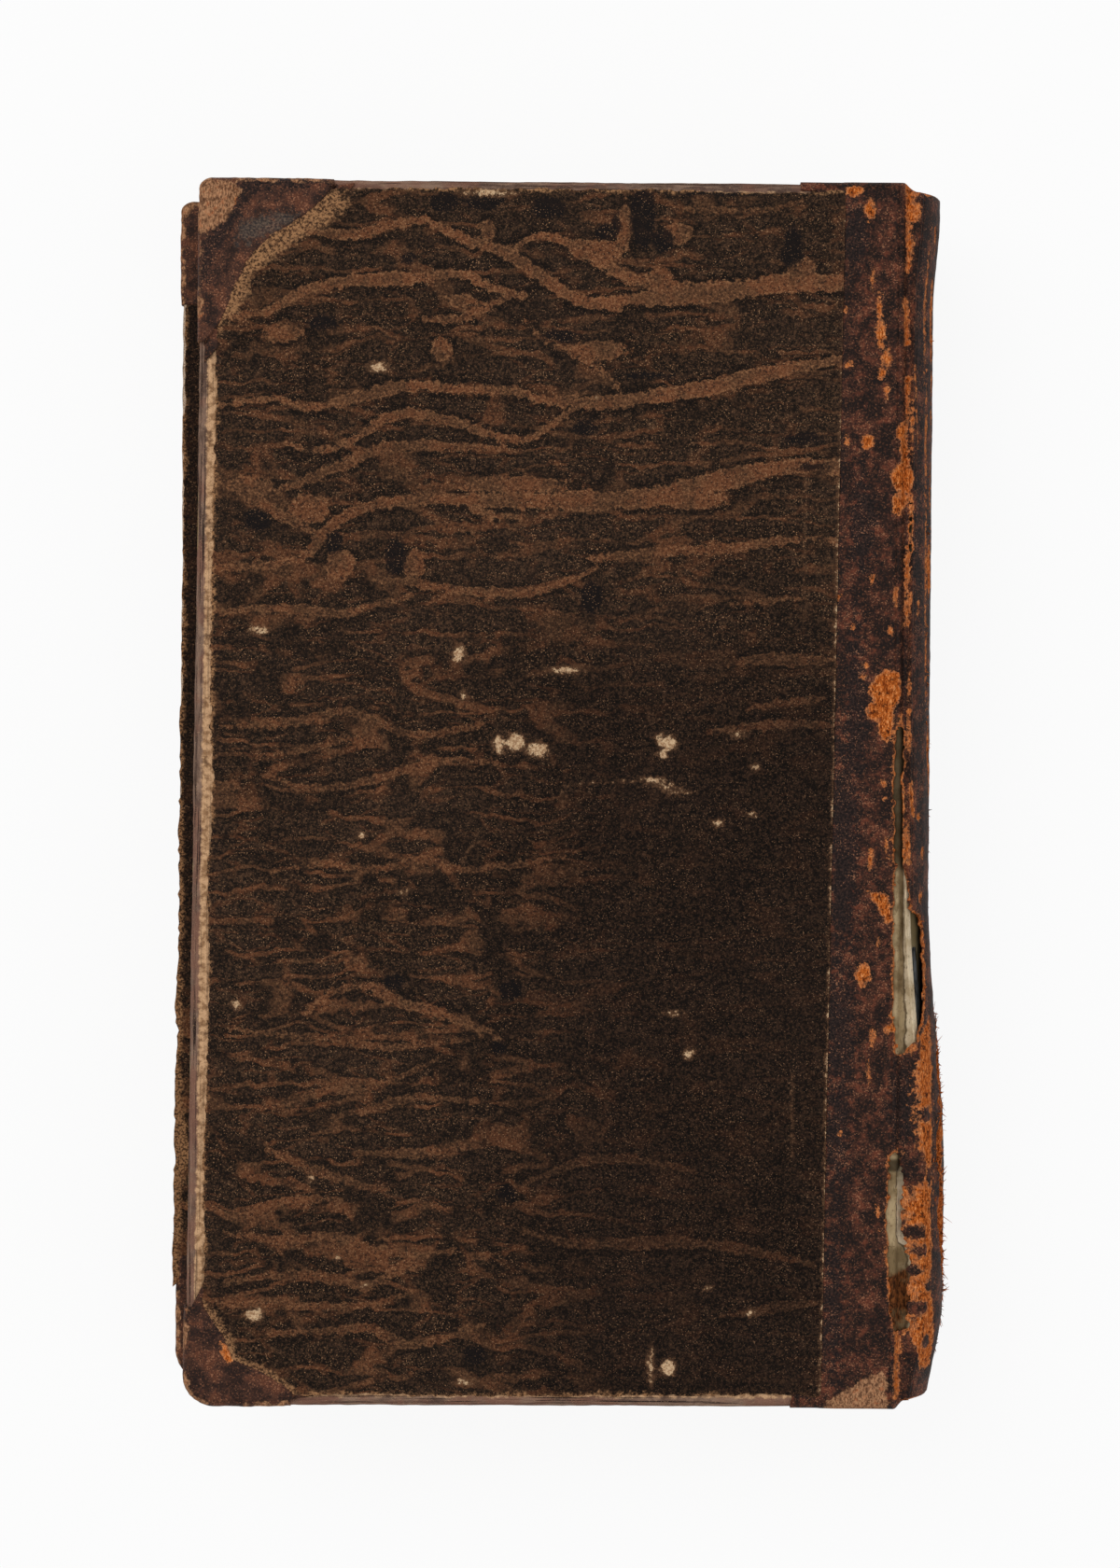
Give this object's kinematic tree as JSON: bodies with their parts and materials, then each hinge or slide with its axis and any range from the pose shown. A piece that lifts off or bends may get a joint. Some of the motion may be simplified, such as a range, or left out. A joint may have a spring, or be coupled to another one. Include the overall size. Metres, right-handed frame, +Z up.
{
  "type": "half-leather book",
  "caption": "Small worn half-leather book lying flat, with paper-sided boards, a rounded back and covers that open at the joints.",
  "frame": {"origin": "on the surface that the book lies on, under the middle of its outline", "axes": "+Z up, out of the upper cover; +Y from tail to head; +X from the fore edge to the spine"},
  "size_m": [0.1242, 0.1916, 0.0296],
  "materials": {
    "pages": "matte",
    "lining_paper": "matte",
    "end_paper": "matte",
    "paste_paper": "satin",
    "leather": "satin",
    "corner_leather": "satin",
    "pasteboard": "matte",
    "hemp": "matte",
    "endband_cloth": "matte"
  },
  "bodies": {
    "book_block": {"text_block": "pages", "spine_lining": "lining_paper", "spine_tube": "lining_paper", "spine_leather": "leather", "head_endband": "endband_cloth", "tail_endband": "endband_cloth", "sewing_cord_1": "hemp", "sewing_cord_2": "hemp", "sewing_cord_3": "hemp", "sewing_cord_4": "hemp"},
    "back_cover": {"back_board": "pasteboard", "back_siding_paper": "paste_paper", "back_leather": "leather", "back_head_corner": "corner_leather", "back_tail_corner": "corner_leather", "back_pastedown": "end_paper", "back_cord_slip_1": "hemp", "back_cord_slip_2": "hemp", "back_cord_slip_3": "hemp", "back_cord_slip_4": "hemp"},
    "front_cover": {"front_board": "pasteboard", "front_siding_paper": "paste_paper", "front_leather": "leather", "front_head_corner": "corner_leather", "front_tail_corner": "corner_leather", "front_pastedown": "end_paper", "front_cord_slip_1": "hemp", "front_cord_slip_2": "hemp", "front_cord_slip_3": "hemp", "front_cord_slip_4": "hemp"}
  },
  "joints": [
    {"name": "back_cover_hinge", "type": "hinge", "parent": "book_block", "child": "back_cover", "pos_m": [0.05457, 0, 0.0296], "axis": [0, 1, 0], "range_deg": [0, 180]},
    {"name": "front_cover_hinge", "type": "hinge", "parent": "book_block", "child": "front_cover", "pos_m": [0.04937, 0, 0], "axis": [0, -1, 0], "range_deg": [0, 180]}
  ]
}
